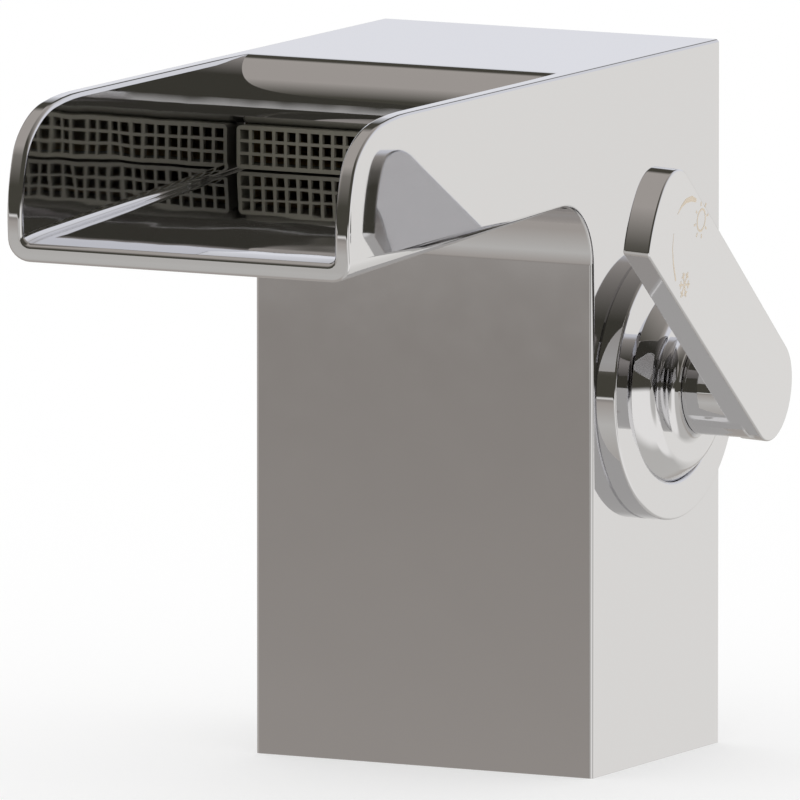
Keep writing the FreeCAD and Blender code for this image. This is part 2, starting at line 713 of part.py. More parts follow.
def cartridge():
    """Plastic shell and ported base with three rubber rings on each face, and the nut that clamps them."""
    inside = "cart_radius - shell_wall"
    shell = turned("shell", [
        (FIXED, inside),
        (ROTOR, inside),
        (ROTOR, "rotor_radius + rotor_gap"),
        (SHELL_ROOF, "rotor_radius + rotor_gap"),
        (SHELL_ROOF, "tower_radius + tower_gap"),
        (SHELL_TOP, "tower_radius + tower_gap"),
        (SHELL_TOP, "neck_radius"),
        (NUT_SEAT, "neck_radius"),
        (NUT_SEAT, "cart_radius"),
        (FIXED, "cart_radius"),
    ], {})
    seat(shell)
    keep(shell, "cartridge_shell")

    cores = []
    for face, low in (("inlet", CUP_FLOOR), ("disc", FIXED + " - seal_height")):
        rings = []
        for i, (along, across) in enumerate(PORTS):
            name = "%s_seal_%d" % (face, i)
            high = low + " + seal_height"
            spot = (along, "-(%s)" % across)
            cores.append(rod(name + "_recess", "x", "seal_radius + seal_gap", low, high, *spot))
            rings.append(cut(name, rod(name + "_blank", "x", "seal_radius", low, high, *spot),
                             rod(name + "_bore", "x", "way_radius + seal_lip", low, high, *spot)))
        seals = group(face + "_rings", *rings)
        seat(seals)
        keep(seals, face + "_seals")
    for i, (along, across) in enumerate(PORTS):
        cores.append(rod("base_port_%d" % i, "x", "way_radius", CUP_FLOOR, FIXED, along, "-(%s)" % across))
    base = cut("base", rod("base_blank", "x", "cart_radius", CUP_FLOOR, FIXED), *cores)
    seat(base)
    keep(base, "cartridge_base")

    blank = rod("nut_blank", "x", "nut_radius", NUT_SEAT, SHELL_TOP)
    bore = rod("nut_bore", "x", "neck_radius + nut_gap", NUT_SEAT, SHELL_TOP)
    notch = (SHELL_TOP + " - slot_depth", SHELL_TOP + " + cut_over")
    long = centred("nut_radius + cut_over")
    short = centred("nut_slot / 2")
    notches = [block("nut_notch_a", notch, long, short), block("nut_notch_b", notch, short, long)]
    nut = cut("nut", blank, bore, *notches)
    seat(nut)
    keep(nut, "retaining_nut")


def valve_manifold():
    """Brass insert: foot with the supply threads, cartridge cup on a pillar, riser to the chamber."""
    half_x = "col_width / 2 - col_wall - flange_gap"
    half_y = "col_depth / 2 - col_wall - flange_gap"
    foot = rod("foot", "z", "foot_radius", "0", "foot_drop")
    flange = block("flange", centred(half_x), centred(half_y), ("foot_drop", "flange_top"))
    pillar_back = "max(%s; boss_reach + boss_gap - %s)" % (CUP_BACK, SIDE)
    pillar = block("pillar", (pillar_back, CUP_BACK + " + pillar_depth"), centred("pillar_half"),
                   ("flange_top", LEVER))
    cup = doc.addObject("Part::MultiCommon", "cup")
    cup.Shapes = [
        rod("cup_round", "x", CUP_RADIUS, CUP_BACK, CUP_MOUTH, "0", LEVER),
        block("cup_flats", (CUP_BACK, CUP_MOUTH), centred(half_y),
              (LEVER + " - " + CUP_RADIUS, LEVER + " + " + CUP_RADIUS)),
    ]
    out_y = "(cos(lever_tilt) * outlet_along)"
    out_z = "(%s - sin(lever_tilt) * outlet_along)" % LEVER
    riser = rod("riser", "z", "riser_radius", LEVER, FLOOR_AT_DAM, RISER, out_y)
    mid = "(%s - partition / 2)" % FLOOR_AT_DAM
    groove_low = mid + " - oring_cord - seal_gap"
    groove_high = mid + " + oring_cord + seal_gap"
    ring_major = "(riser_radius + riser_gap - oring_cord - oring_slack)"
    groove_radius = ring_major + " - oring_cord - oring_slack"
    groove_outer = rod("groove_blank", "z", "riser_radius + riser_gap", groove_low, groove_high,
                       RISER, out_y)
    groove_inner = rod("groove_core", "z", groove_radius, groove_low, groove_high, RISER, out_y)
    groove = cut("riser_groove", groove_outer, groove_inner)

    cores = [
        groove,
        rod("cup_bore", "x", "cart_radius + cart_gap", CUP_FLOOR, CUP_MOUTH, "0", LEVER),
        rod("nut_thread", "x", "nut_radius + nut_gap", NUT_SEAT + " - nut_gap", CUP_MOUTH, "0", LEVER),
        rod("outlet_way", "x", "way_radius", RISER, CUP_FLOOR + " + way_over", out_y, out_z),
        rod("riser_way", "z", "riser_bore", out_z + " - way_radius - way_over", FLOOR_AT_DAM,
            RISER, out_y),
        rod("stud_thread", "z", "stud_radius", "0", "stud_depth", "stud_forward"),
    ]
    for name, side, across in (("hot", "", "inlet_across"), ("cold", "-", "-inlet_across")):
        way_y = "(%s * sin(lever_tilt) - inlet_along * cos(lever_tilt))" % across
        way_z = "(%s + inlet_along * sin(lever_tilt) + %s * cos(lever_tilt))" % (LEVER, across)
        from_y = "(%sport_spread)" % side
        inner_y = "%s %s (way_radius + way_over)" % (way_y, "-" if side == "" else "+")
        span = (inner_y, from_y) if side == "" else (from_y, inner_y)
        cores.append(rod(name + "_thread", "z", "port_radius", "0", "flange_top", PORT, from_y))
        cores.append(rod(name + "_rise", "z", "rise_radius", "flange_top - way_over",
                         way_z + " + cross_radius + way_over", PORT, from_y))
        cores.append(rod(name + "_cross", "y", "cross_radius", span[0], span[1], PORT, way_z))
        cores.append(rod(name + "_way", "x", "way_radius", PORT, CUP_FLOOR + " + way_over",
                         way_y, way_z))
    screws = []
    for name, sign in (("left", "-"), ("right", "")):
        spot = sign + SCREW
        sink = doc.addObject("Part::Cone", name + "_sink")
        bind(sink, Radius1="screw_head + screw_play", Radius2="screw_radius + screw_play",
             Height="head_height")
        place(sink, spot, "0", "foot_drop")
        cores.append(sink)
        cores.append(rod(name + "_screw_way", "z", "screw_radius + screw_play", "foot_drop", "flange_top",
                         spot))
        head = doc.addObject("Part::Cone", name + "_head")
        bind(head, Radius1="screw_head", Radius2="screw_radius", Height="head_height")
        place(head, spot, "0", "foot_drop")
        shank = rod(name + "_shank", "z", "screw_radius", "foot_drop", "foot_drop + screw_length", spot)
        screws.append(fuse(name + "_screw", head, shank))
    keep(cut("manifold", fuse("manifold_form", foot, flange, pillar, cup, riser), *cores), "valve_manifold")
    keep(group("screws", *screws), "base_screws")

    ring = doc.addObject("Part::Torus", "riser_ring")
    bind(ring, Radius1=ring_major, Radius2="oring_cord")
    place(ring, RISER, out_y, mid)
    keep(ring, "riser_o_ring")

    gasket = block("gasket_sheet", centred(half_x), centred(half_y), ("0", "foot_drop"))
    opening = rod("gasket_hole", "z", "foot_radius + flange_gap", "0", "foot_drop")
    keep(cut("gasket", gasket, opening), "base_gasket")


body_casting()
grille()
trim_ring()
dome_cap()
handle_lever()
spindle()
rotor_guide()
discs()
cartridge()
valve_manifold()
doc.recompute()

for item in doc.Objects:
    if "Invalid" in item.State or "Error" in item.State:
        raise RuntimeError("%s did not build: %s" % (item.Name, item.State))
os.makedirs("parts", exist_ok=True)
for item in nodes:
    if not item.Shape.isValid() or not item.Shape.Solids:
        raise RuntimeError("%s is not a sound solid" % item.Label)
    item.Shape.exportStep("parts/%s.step" % item.Label)
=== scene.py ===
import json
import math

import bmesh
import bpy
from mathutils import Matrix, Vector


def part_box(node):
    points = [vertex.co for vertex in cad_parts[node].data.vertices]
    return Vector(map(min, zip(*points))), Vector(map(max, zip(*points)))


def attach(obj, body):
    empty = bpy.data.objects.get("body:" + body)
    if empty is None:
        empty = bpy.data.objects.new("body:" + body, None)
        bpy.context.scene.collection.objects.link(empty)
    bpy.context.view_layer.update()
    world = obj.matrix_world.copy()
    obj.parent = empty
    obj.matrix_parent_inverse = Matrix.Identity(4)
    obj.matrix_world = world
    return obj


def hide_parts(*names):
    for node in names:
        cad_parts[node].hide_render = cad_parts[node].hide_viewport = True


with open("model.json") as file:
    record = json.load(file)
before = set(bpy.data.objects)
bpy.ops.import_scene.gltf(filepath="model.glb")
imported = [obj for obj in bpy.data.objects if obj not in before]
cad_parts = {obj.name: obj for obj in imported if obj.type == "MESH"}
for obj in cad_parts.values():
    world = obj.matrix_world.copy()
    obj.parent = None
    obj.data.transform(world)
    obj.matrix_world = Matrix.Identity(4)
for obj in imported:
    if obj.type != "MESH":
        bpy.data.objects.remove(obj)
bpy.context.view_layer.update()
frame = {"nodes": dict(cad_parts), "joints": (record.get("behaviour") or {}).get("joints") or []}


# Column and trough: one brass casting, a hollow square column under an open waterfall trough.
# It is ground flat, its edges are eased by hand, and it is polished before plating, so each
# face is a plane mirror and the rounds between them are narrow and bright.
MM = 0.001
ARC_STEP_DEG = 3.0
casting_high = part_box("body_casting")[1] / MM
half_width = casting_high.x
back = casting_high.y
front = -back
top = casting_high.z
spout_reach = 95.9
spout_rise = 4.9
spout_floor = 3.8
lip_drop = 28.7
lip_radius = 33.5
lip_lean_deg = 70.5
lip_straight = 5.2
# The rim, from the lip up to the flat top: radius, and lean in degrees at its start and end.
rim_arcs = ((10.2, lip_lean_deg, 45.0), (16.6, 45.0, 10.0), (60.0, 10.0, 0.0))
throat_radius = 12.0
belly_round = 4.0
column_round = 0.75
outer_round = 0.6
back_round = 0.75
trough_wall = 3.1
trough_round = 1.5
nose_reach = 15.2
nose_radius = 7.6
nose_under = 3.5
nose_drop = 12.4
nose_clear = 1.0
# From each of these places past the nose on, that share of the trough's edge round is left.
nose_fade = ((-6.0, 0.75), (-2.0, 0.55), (0.0, 0.45), (2.0, 0.3), (4.0, 0.15), (5.5, 0.05), (6.5, 0.0))
dam_reach = 11.65
dam_wall = 4.0
column_wall = 3.0
top_wall = 3.5
partition = 6.5
chamber_inset = 1.5
over = 5.0
lip = front - spout_reach
lip_base = top - lip_drop
slope = math.atan2(spout_rise, spout_reach)
belly_along = Vector((math.cos(slope), math.sin(slope)))
belly_up = Vector((-math.sin(slope), math.cos(slope)))
dam = front - dam_reach
nose = front - nose_reach
nose_low = top - nose_drop
floor_at_dam = lip_base + spout_floor + math.tan(slope) * (dam - lip)
trough_half = half_width - trough_wall


def arc(centre, radius, start_deg, end_deg):
    """Points on an arc, in steps fine enough for a mirror."""
    steps = max(2, round(abs(end_deg - start_deg) / ARC_STEP_DEG))
    angles = [math.radians(start_deg + (end_deg - start_deg) * i / steps) for i in range(steps + 1)]
    return [Vector((centre[0] + radius * math.cos(a), centre[1] + radius * math.sin(a))) for a in angles]


def new_piece(name, mesh_builder):
    """Object from a bmesh in millimetres, with outward normals."""
    bmesh.ops.remove_doubles(mesh_builder, verts=mesh_builder.verts, dist=1e-4)
    bmesh.ops.recalc_face_normals(mesh_builder, faces=mesh_builder.faces)
    bmesh.ops.scale(mesh_builder, vec=(MM, MM, MM), verts=mesh_builder.verts)
    mesh = bpy.data.meshes.new(name)
    mesh_builder.to_mesh(mesh)
    mesh_builder.free()
    piece = bpy.data.objects.new(name, mesh)
    bpy.context.scene.collection.objects.link(piece)
    return piece


def extrude_outline(builder, outline, x_low, x_high):
    """Straight solid along x from a closed outline of (y, z) points."""
    ends = [[builder.verts.new((x, y, z)) for y, z in outline] for x in (x_low, x_high)]
    for i in range(len(outline)):
        j = (i + 1) % len(outline)
        builder.faces.new((ends[0][i], ends[0][j], ends[1][j], ends[1][i]))
    for end in ends:
        builder.faces.new(end)


def prism(name, outline, x_low, x_high):
    """Straight solid along x as a piece of its own."""
    builder = bmesh.new()
    extrude_outline(builder, outline, x_low, x_high)
    return new_piece(name, builder)


def block(name, x_low, x_high, y_low, y_high, z_low, z_high):
    """Square-edged block between two places on each axis."""
    return prism(name, [(y_low, z_low), (y_high, z_low), (y_high, z_high), (y_low, z_high)], x_low, x_high)


def combine(piece, tool, operation="DIFFERENCE"):
    """Cut a tool out of a piece, or join it on, for good."""
    step = piece.modifiers.new("combine", "BOOLEAN")
    step.operation = operation
    step.solver = "EXACT"
    step.object = tool
    result = bpy.data.meshes.new_from_object(piece.evaluated_get(bpy.context.evaluated_depsgraph_get()))
    piece.modifiers.clear()
    piece.data = result
    bpy.data.objects.remove(tool)


lip_top = top - sum(radius * (math.cos(math.radians(turn_to)) - math.cos(math.radians(turn_from)))
                    for radius, turn_from, turn_to in rim_arcs)
lip_centre_z = lip_top - lip_radius * math.cos(math.radians(lip_lean_deg))
foot_turn = math.acos((lip_base - lip_centre_z) / lip_radius)
lip_centre = Vector((lip + lip_radius * math.sin(foot_turn), lip_centre_z))


def on_lip(run):
    """Place on the curved lip face, at a run in millimetres up from its foot."""
    turn = foot_turn - run / lip_radius
    return lip_centre + lip_radius * Vector((-math.sin(turn), math.cos(turn)))


def lip_run(rise):
    """Run up the lip at which the belly's side round, this far above the belly, meets it."""
    away = Vector((lip, lip_base)) + belly_up * rise - lip_centre
    ahead = away.dot(belly_along)
    reach = -ahead - math.sqrt(ahead ** 2 - away.length_squared + lip_radius ** 2)
    met = away + belly_along * reach
    return lip_radius * (foot_turn - math.atan2(-met.x, met.y))


def rim_stations(first_run):
    """Side view of lip, rim, flat top and back: places and inward normals, from the lip to the base."""
    stations = []
    centre = lip_centre
    arcs = ((lip_radius, math.degrees(foot_turn - first_run / lip_radius), lip_lean_deg),) + rim_arcs
    for radius, turn_from, turn_to in arcs:
        if stations:
            centre = stations[-1][0] + stations[-1][1] * radius
        for p in arc(centre, radius, 90 + turn_from, 90 + turn_to)[1 if stations else 0:]:
            stations.append((p, (centre - p).normalized()))
    for ahead in [place for place, share in nose_fade] + [nose_radius + nose_clear]:
        stations.append((Vector((nose + ahead, top)), Vector((0, -1))))
    centre = Vector((back - back_round, top - back_round))
    stations += [(p, (centre - p).normalized()) for p in arc(centre, back_round, 90, 0)]
    stations.append((Vector((back, 0)), Vector((-1, 0))))
    return stations


def belly_stations():
    """Front face, throat and belly: place, inward normal and side round of each station."""
    reach = throat_radius / math.tan(math.pi / 4 - slope / 2)
    corner = Vector((front, lip_base + spout_rise))
    centre = corner + Vector((-throat_radius, -reach))
    stations = [(Vector((front, 0)), Vector((1, 0)), column_round)]
    for p in arc(centre, throat_radius, 0, 90 + math.degrees(slope)):
        stations.append((p, (p - centre).normalized(), column_round))
    start = stations[-1][0]
    rows = 24
    for i in range(1, rows):
        p = start.lerp(Vector((lip, lip_base)), i / rows)
        stations.append((p, belly_up, column_round + (belly_round - column_round) * i / rows))
    return stations


def casting_form():
    """Outer form: the belly's side rounds fade from the lip to the column, the rim's are small."""
    builder = bmesh.new()
    round_steps = 8
    edge_steps = 6
    blend_over = 7.0
    ways = [math.radians(90 * i / edge_steps) for i in range(edge_steps + 1)]
    corner_turns = [math.radians(90 * (1 - i / round_steps)) for i in range(round_steps + 1)]
    rim = rim_stations(lip_straight)
    edges = {}
    for side in (-1, 1):
        rows = []
        for turn in corner_turns:
            run = lip_run(belly_round * (1 - math.sin(turn)))
            x = half_width - belly_round + belly_round * math.cos(turn)
            row = []
            for a in ways:
                inset = outer_round * (1 - math.cos(a))
                p = on_lip(run + math.sin(turn) * inset) + belly_along * (outer_round * (1 - math.sin(a)))
                row.append(builder.verts.new((side * (x - math.cos(turn) * inset), p.x, p.y)))
            rows.append(row)
        for place, inward in rim:
            share = min(1.0, (place.y - on_lip(lip_straight).y) / blend_over) if place.x < nose else 1.0
            depth = belly_along.lerp(inward, share).normalized()
            row = []
            for a in ways:
                p = place + depth * (outer_round * (1 - math.sin(a)))
                x = half_width - outer_round * (1 - math.cos(a))
                row.append(builder.verts.new((side * x, p.x, p.y)))
            rows.append(row)
        edges[side] = rows
        for a, b in zip(rows, rows[1:]):
            for i in range(edge_steps):
                builder.faces.new((a[i], a[i + 1], b[i + 1], b[i]))
    left, right = edges[-1], edges[1]
    for i in range(edge_steps):
        builder.faces.new((left[0][i], right[0][i], right[0][i + 1], left[0][i + 1]))
    # The lip's face takes few rows near its foot, which leaves room for the eased edge there.
    marks = list(range(0, round_steps // 2 + 1, 2)) + list(range(round_steps + 1, len(left)))
    for a, b in zip(marks, marks[1:]):
        left_run = [row[-1] for row in left[a:b + 1]]
        right_run = [row[-1] for row in right[a:b + 1]]
        builder.faces.new(left_run + right_run[::-1])

    belly = []
    for place, normal, radius in belly_stations():
        half_rows = []
        for side in (-1, 1):
            half_row = []
            for i in range(round_steps + 1):
                turn = math.radians(90 * i / round_steps)
                p = place + normal * (radius * (1 - math.cos(turn)))
                x = half_width - radius + radius * math.sin(turn)
                half_row.append(builder.verts.new((side * x, p.x, p.y)))
            half_rows.append(half_row)
        belly.append(half_rows[0][::-1] + half_rows[1])
    belly.append([row[0] for row in left[round_steps::-1]] + [row[0] for row in right[:round_steps + 1]])
    for a, b in zip(belly, belly[1:]):
        for i in range(len(a) - 1):
            builder.faces.new((a[i], a[i + 1], b[i + 1], b[i]))
    builder.faces.new([row[0] for row in belly] + [row[0] for row in left[round_steps + 1:]])
    builder.faces.new([row[-1] for row in belly] + [row[0] for row in right[round_steps + 1:]])
    builder.faces.new(belly[0] + right[-1] + left[-1][::-1])
    return new_piece("body_shell", builder)


# The trough's floor rolls off to the lip on a large radius, and its last facet is a long one.
roll_radius = 150.0
roll_length = 9.0
roll_steps = 6
lip_facet = 3.0
roll_places = [(roll_length - lip_facet) * (1 - step / roll_steps) for step in range(roll_steps + 1)]
floor_line = []
for ahead in [roll_length + over] + roll_places:
    fall = roll_radius - math.sqrt(roll_radius ** 2 - ahead ** 2)
    run_down = dam - lip - roll_length + ahead
    floor_line.append((dam - run_down, floor_at_dam - math.tan(slope) * run_down - fall))
trough_core = prism("trough_core", [
    *floor_line,
    (dam, floor_at_dam),
    (dam, nose_low),
    *arc((nose + nose_under, nose_low + nose_under), nose_under, 270, 180),
    *arc((nose + nose_radius, top - nose_radius), nose_radius, 180, 90),
    (nose + nose_radius, top + over),
    (lip - over, top + over),
], -trough_half, trough_half)
core_builder = bmesh.new()
core_builder.from_mesh(trough_core.data)
floor_edges = [edge for edge in core_builder.edges if edge.verts[0].co.x == edge.verts[1].co.x
               and max(v.co.z for v in edge.verts) < (floor_at_dam + column_round) * MM]
trough_round_steps = 6
bmesh.ops.bevel(core_builder, geom=floor_edges, offset=trough_round * MM, segments=trough_round_steps,
                profile=0.5, affect="EDGES")
core_builder.to_mesh(trough_core.data)
core_builder.free()

grille_low, grille_high = (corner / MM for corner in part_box("flow_grille"))
seal_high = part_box("grille_seal")[1] / MM
grille_gap = 0.1
grille_ledge = 0.6
ring_low, ring_high = (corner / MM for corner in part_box("trim_ring"))
lever_centre = (ring_low + ring_high) / 2
bore_radius = 22.75
bore_behind = 21.4
cavity_top = floor_at_dam - partition
riser_low, riser_high = (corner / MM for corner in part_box("riser_o_ring"))
riser_middle = (riser_low + riser_high) / 2
riser_hole = 6.6
boss_reach = 13.0
boss_half = 5.5
boss_low = 12.0
boss_high = 30.0
screw_in = 9.0
screw_hole = 2.05
screw_end = 26.0
body_shell = casting_form()
combine(body_shell, trough_core)
combine(body_shell, block("cavity", column_wall - half_width, half_width - column_wall, front + column_wall,
                          back - column_wall, -over, cavity_top))
combine(body_shell, block("chamber", chamber_inset - trough_half, trough_half - chamber_inset, dam + dam_wall,
                          back - column_wall, floor_at_dam, top - top_wall))
combine(body_shell, block("rebate", grille_low.x - grille_gap, grille_high.x + grille_gap, dam - grille_gap,
                          seal_high.y, floor_at_dam, nose_low))
combine(body_shell, block("window", grille_low.x + grille_ledge, grille_high.x - grille_ledge, dam,
                          dam + dam_wall + over, grille_low.z + grille_ledge, grille_high.z - grille_ledge))
for side in (-1, 1):
    boss_x = sorted((side * (half_width - column_wall / 2), side * (half_width - boss_reach)))
    combine(body_shell, block("boss", *boss_x, -boss_half, boss_half, boss_low, boss_high), "UNION")
bore_outline = arc((lever_centre.y, lever_centre.z), bore_radius, 0, 360)[:-1]
combine(body_shell, prism("bore", bore_outline, half_width - bore_behind, half_width + over))
upright = Matrix.Rotation(-math.pi / 2, 4, "Y")
# Upright holes, as x, y, radius, lowest and highest place: one for the riser, two for the screws.
holes = [(riser_middle.x, riser_middle.y, riser_hole, cavity_top - over, floor_at_dam + over)]
holes += [(side * (half_width - screw_in), 0, screw_hole, boss_low - over, screw_end) for side in (-1, 1)]
for x, y, radius, z_low, z_high in holes:
    drill = prism("drill", arc((0, 0), radius, 0, 360)[:-1], z_low, z_high)
    drill.data.transform(Matrix.Translation(Vector((x, y, 0)) * MM) @ upright)
    combine(body_shell, drill)


def ease_edges(piece, width, weight_of):
    """Round chosen edges: weight_of gives each edge's share of the width from its middle."""
    mesh = piece.data
    weights = mesh.attributes.new("bevel_weight_edge", "FLOAT", "EDGE")
    for edge in mesh.edges:
        middle = (mesh.vertices[edge.vertices[0]].co + mesh.vertices[edge.vertices[1]].co) / (2 * MM)
        along = (mesh.vertices[edge.vertices[1]].co - mesh.vertices[edge.vertices[0]].co).normalized()
        weights.data[edge.index].value = weight_of(middle, along)
    bevel = piece.modifiers.new("eased_edges", "BEVEL")
    bevel.width = width * MM
    bevel.segments = 4
    bevel.limit_method = "WEIGHT"
    bevel.use_clamp_overlap = False
    polish(piece)


def polish(piece, sharp_deg=32.0):
    """Smooth shading that keeps true corners and leaves the flats flat."""
    mesh = piece.data
    mesh.shade_smooth()
    mesh.set_sharp_from_angle(angle=math.radians(sharp_deg))
    normals = piece.modifiers.new("flat_faces_lead", "WEIGHTED_NORMAL")
    normals.keep_sharp = True


lip_places = 52
rim_places = [on_lip(lip_straight * i / lip_places) for i in range(lip_places)]
rim_places += [place for place, inward in rim_stations(lip_straight)]
inner_round = 0.85


def off_rim(middle):
    """Distance in the side view from the line of lip and rim."""
    spot = Vector((middle.y, middle.z))
    gaps = []
    for a, b in zip(rim_places, rim_places[1:]):
        share = min(1.0, max(0.0, (spot - a).dot(b - a) / (b - a).length_squared))
        gaps.append((spot - a.lerp(b, share)).length)
    return min(gaps)


def trough_edge(middle, along):
    """Share of the rounding on one edge: the trough's own rim, fading out over the nose."""
    near = 0.02
    facet_gap = 0.12
    below_floor = 1.0
    if abs(middle.x) > trough_half + near or middle.y > nose + nose_radius or off_rim(middle) > facet_gap:
        return 0.0
    if middle.z < lip_base + spout_floor - below_floor:
        return 0.0
    for ahead, share in reversed(nose_fade):
        if middle.y > nose + ahead:
            return share
    return 1.0


ease_edges(body_shell, inner_round, trough_edge)


def linear(hex_colour):
    """Linear colour from an sRGB hex value."""
    parts = [int(hex_colour[i:i + 2], 16) / 255 for i in (0, 2, 4)]
    return [c / 12.92 if c <= 0.04045 else ((c + 0.055) / 1.055) ** 2.4 for c in parts] + [1.0]


def add_node(tree, kind, values=None, links=None, **settings):
    """Node with its settings, its socket values and its links."""
    node = tree.nodes.new(kind)
    for name, value in settings.items():
        setattr(node, name, value)
    for socket, value in (values or {}).items():
        node.inputs[socket].default_value = value
    for socket, (source, output) in (links or {}).items():
        tree.links.new(source.outputs[output], node.inputs[socket])
    return node


def new_material(name):
    """Empty node material with its output."""
    material = bpy.data.materials.new(name)
    material.use_nodes = True
    material.node_tree.nodes.clear()
    return material, material.node_tree


face_wave = 22.0
face_wave_depth = 0.012
trough_wave = 16.0
trough_wave_depth = 0.09
dub_run = 14.0
dub_depth = 0.3


def polished_chrome(name, wave_mm, wave_depth_mm, dub_mm=0.0):
    """Bright chrome over polished brass: a mirror, with the wave that polishing leaves in it.

    Where the wheel runs off the lip it takes a little more metal, by dub_mm, so the mirror bends there.
    """
    material, tree = new_material(name)
    haze_mm = 6.0
    bright, hazed = 0.015, 0.05
    place = add_node(tree, "ShaderNodeTexCoord")
    wave = add_node(tree, "ShaderNodeTexNoise", {"Scale": 1 / (wave_mm * MM), "Detail": 1.0},
                    {"Vector": (place, "Object")})
    bump = add_node(tree, "ShaderNodeBump", {"Strength": 1.0, "Distance": wave_depth_mm * MM},
                    {"Height": (wave, "Fac")})
    if dub_mm:
        axes = add_node(tree, "ShaderNodeSeparateXYZ", links={"Vector": (place, "Object")})
        near_lip = add_node(tree, "ShaderNodeMapRange",
                            {"From Min": (lip + dub_run) * MM, "From Max": lip * MM}, {"Value": (axes, "Y")})
        fall = add_node(tree, "ShaderNodeMath", {1: 2.0}, {0: (near_lip, "Result")}, operation="POWER")
        bump = add_node(tree, "ShaderNodeBump", {"Strength": 1.0, "Distance": dub_mm * MM},
                        {"Height": (fall, "Value"), "Normal": (bump, "Normal")}, invert=True)
    haze = add_node(tree, "ShaderNodeTexNoise", {"Scale": 1 / (haze_mm * MM), "Detail": 4.0},
                    {"Vector": (place, "Object")})
    rough = add_node(tree, "ShaderNodeMapRange", {"To Min": bright, "To Max": hazed},
                     {"Value": (haze, "Fac")})
    shader = add_node(tree, "ShaderNodeBsdfPrincipled", {"Base Color": linear("DCDCDE"), "Metallic": 1.0},
                      {"Roughness": (rough, "Result"), "Normal": (bump, "Normal")})
    add_node(tree, "ShaderNodeOutputMaterial", links={"Surface": (shader, "BSDF")})
    return material


def rough_cast_brass():
    """Brass as it leaves the sand: dull yellow-brown metal with a sandy grain, left so inside."""
    material, tree = new_material("rough_cast_brass")
    sand_mm = 0.5
    sand_depth_mm = 0.1
    place = add_node(tree, "ShaderNodeTexCoord")
    sand = add_node(tree, "ShaderNodeTexNoise", {"Scale": 1 / (sand_mm * MM), "Detail": 3.0},
                    {"Vector": (place, "Object")})
    bump = add_node(tree, "ShaderNodeBump", {"Strength": 0.5, "Distance": sand_depth_mm * MM},
                    {"Height": (sand, "Fac")})
    rough = add_node(tree, "ShaderNodeMapRange", {"To Min": 0.6, "To Max": 0.85}, {"Value": (sand, "Fac")})
    shader = add_node(tree, "ShaderNodeBsdfPrincipled", {"Base Color": linear("B39A6A"), "Metallic": 1.0},
                      {"Roughness": (rough, "Result"), "Normal": (bump, "Normal")})
    add_node(tree, "ShaderNodeOutputMaterial", links={"Surface": (shader, "BSDF")})
    return material


def in_hollow(middle):
    """True for a face of the casting's inside: the column's cavity or the chamber behind the grille."""
    near = 0.05
    hollow_front = dam + near if middle.z > floor_at_dam - near else front + column_wall - near
    across = abs(middle.x) < half_width - column_wall + near
    along = hollow_front < middle.y < back - column_wall + near
    return across and along and near < middle.z < top - top_wall + near


chrome = polished_chrome("polished_chrome", face_wave, face_wave_depth)
trough_chrome = polished_chrome("hand_polished_chrome", trough_wave, trough_wave_depth)
cast_inside = rough_cast_brass()
side_chrome = polished_chrome("side_chrome", face_wave, face_wave_depth, dub_depth)
finishes = [chrome, trough_chrome, cast_inside, side_chrome]
body_shell.data.materials.clear()
for finish in finishes:
    body_shell.data.materials.append(finish)
for face in body_shell.data.polygons:
    middle = face.center / MM
    inside = abs(middle.x) < trough_half + grille_gap and lip < middle.y < nose and lip_base < middle.z < top
    on_flat_side = abs(middle.x) > half_width - grille_gap and face.area > (belly_round * MM) ** 2
    if in_hollow(middle):
        finish = cast_inside
    elif on_flat_side:
        finish = side_chrome
    else:
        finish = trough_chrome if inside and off_rim(middle) > outer_round else chrome
    face.material_index = finishes.index(finish)
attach(body_shell, "valve")
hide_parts("body_casting")


# Flow grille: an injection-moulded plastic plate with rows of square holes.
# It clips into the rebate at the back of the trough, over a thin rubber frame.
def finish_node(name, material):
    """Give a carried-over solid its finish."""
    frame["nodes"][name].data.materials.clear()
    frame["nodes"][name].data.materials.append(material)


def moulded_plastic(name, colour, roughness, grain_mm):
    """Moulded plastic: even colour under a spark-eroded grain, drawn coarse enough to show."""
    material, tree = new_material(name)
    grain_depth_mm = 0.05
    spread = 0.08
    place = add_node(tree, "ShaderNodeTexCoord")
    grain = add_node(tree, "ShaderNodeTexNoise", {"Scale": 1 / (grain_mm * MM), "Detail": 3.0},
                     {"Vector": (place, "Object")})
    bump = add_node(tree, "ShaderNodeBump", {"Strength": 0.15, "Distance": grain_depth_mm * MM},
                    {"Height": (grain, "Fac")})
    rough = add_node(tree, "ShaderNodeMapRange", {"To Min": roughness - spread, "To Max": roughness + spread},
                     {"Value": (grain, "Fac")})
    shader = add_node(tree, "ShaderNodeBsdfPrincipled", {"Base Color": linear(colour), "IOR": 1.5},
                      {"Roughness": (rough, "Result"), "Normal": (bump, "Normal")})
    add_node(tree, "ShaderNodeOutputMaterial", links={"Surface": (shader, "BSDF")})
    return material


finish_node("flow_grille", moulded_plastic("grille_plastic", "7F7C70", 0.4, 0.4))
rubber = moulded_plastic("moulded_rubber", "1B1B1B", 0.7, 0.8)
finish_node("grille_seal", rubber)


